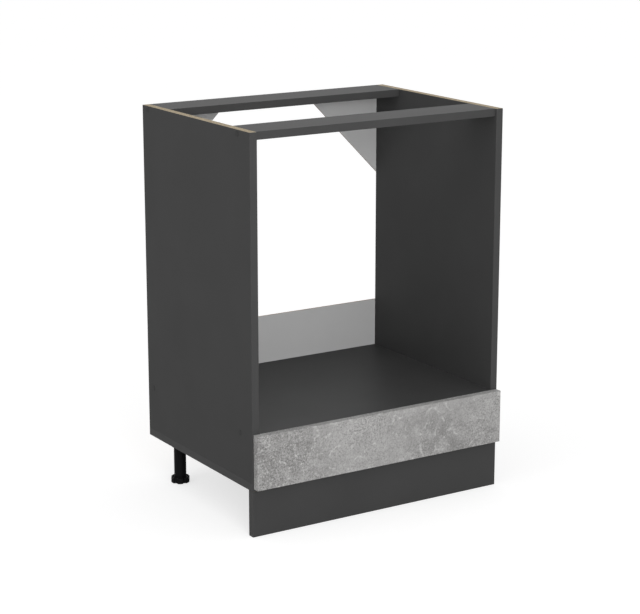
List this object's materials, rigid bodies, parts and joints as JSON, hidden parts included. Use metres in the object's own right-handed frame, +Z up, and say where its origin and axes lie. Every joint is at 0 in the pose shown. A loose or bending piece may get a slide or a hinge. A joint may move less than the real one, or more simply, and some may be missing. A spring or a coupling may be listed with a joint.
{
  "type": "oven base cabinet",
  "caption": "Open kitchen base cabinet for a built-in oven: dark chipboard carcass with top rails, oven shelf, fixed concrete-look fascia, clip-on plinth and screw feet.",
  "frame": {"origin": "on the floor, midway between the outer sides and midway between the fascia's front and the back sheet's rear face", "axes": "+Z up, +X to the viewer's right when facing the cabinet, the front faces -Y"},
  "size_m": [0.6012, 0.46, 0.812],
  "materials": {
    "melamine_board": "matt anthracite melamine faces on chipboard, raw where not edged",
    "anthracite_edging": "matt anthracite plastic edging",
    "concrete_board": "concrete patterned melamine faces on chipboard",
    "concrete_edging": "matt grey plastic edging",
    "back_sheet": "light grey lacquered hardboard",
    "black_plastic": "black moulded plastic",
    "cap_plastic": "anthracite moulded plastic",
    "zinc_steel": "bright zinc plate",
    "beech": "raw turned beech"
  },
  "bodies": {
    "cabinet": {"left_side": "melamine_board", "right_side": "melamine_board", "bottom_panel": "melamine_board", "oven_shelf": "melamine_board", "front_rail": "melamine_board", "rear_rail": "melamine_board", "left_side_edging": "anthracite_edging", "right_side_edging": "anthracite_edging", "bottom_front_edging": "anthracite_edging", "bottom_end_edging": "anthracite_edging", "shelf_edging": "anthracite_edging", "front_rail_edging": "anthracite_edging", "rear_rail_edging": "anthracite_edging", "fascia": "concrete_board", "fascia_long_edging": "concrete_edging", "fascia_end_edging": "concrete_edging", "back_strip": "back_sheet", "left_gusset": "back_sheet", "right_gusset": "back_sheet", "front_left_socket": "black_plastic", "front_left_leg": "black_plastic", "front_right_socket": "black_plastic", "front_right_leg": "black_plastic", "rear_left_socket": "black_plastic", "rear_left_leg": "black_plastic", "rear_right_socket": "black_plastic", "rear_right_leg": "black_plastic", "left_cover_caps": "cap_plastic", "right_cover_caps": "cap_plastic", "left_side_bracket": "zinc_steel", "right_side_bracket": "zinc_steel", "left_shelf_bracket": "zinc_steel", "right_shelf_bracket": "zinc_steel", "shelf_screws": "zinc_steel", "rail_screws": "zinc_steel", "bottom_screws": "zinc_steel", "foot_screws": "zinc_steel", "bracket_screws": "zinc_steel", "strip_nails": "zinc_steel", "gusset_nails": "zinc_steel", "shelf_dowels": "beech", "rail_dowels": "beech", "bottom_dowels": "beech"},
    "plinth": {"plinth_board": "melamine_board", "plinth_edging": "anthracite_edging", "left_plinth_clip": "black_plastic", "right_plinth_clip": "black_plastic", "plinth_clip_screws": "zinc_steel"},
    "front_left_foot_body": {"front_left_foot": "black_plastic"},
    "front_right_foot_body": {"front_right_foot": "black_plastic"},
    "rear_left_foot_body": {"rear_left_foot": "black_plastic"},
    "rear_right_foot_body": {"rear_right_foot": "black_plastic"}
  },
  "joints": [
    {"name": "front_left_foot_screw", "type": "slide", "parent": "cabinet", "child": "front_left_foot_body", "axis": [0, 0, -1], "range_m": [0, 0.02]},
    {"name": "front_right_foot_screw", "type": "slide", "parent": "cabinet", "child": "front_right_foot_body", "axis": [0, 0, -1], "range_m": [0, 0.02]},
    {"name": "rear_left_foot_screw", "type": "slide", "parent": "cabinet", "child": "rear_left_foot_body", "axis": [0, 0, -1], "range_m": [0, 0.02]},
    {"name": "rear_right_foot_screw", "type": "slide", "parent": "cabinet", "child": "rear_right_foot_body", "axis": [0, 0, -1], "range_m": [0, 0.02]},
    {"name": "plinth_pull", "type": "slide", "parent": "cabinet", "child": "plinth", "axis": [0, -1, 0], "range_m": [0, 0.1]}
  ]
}
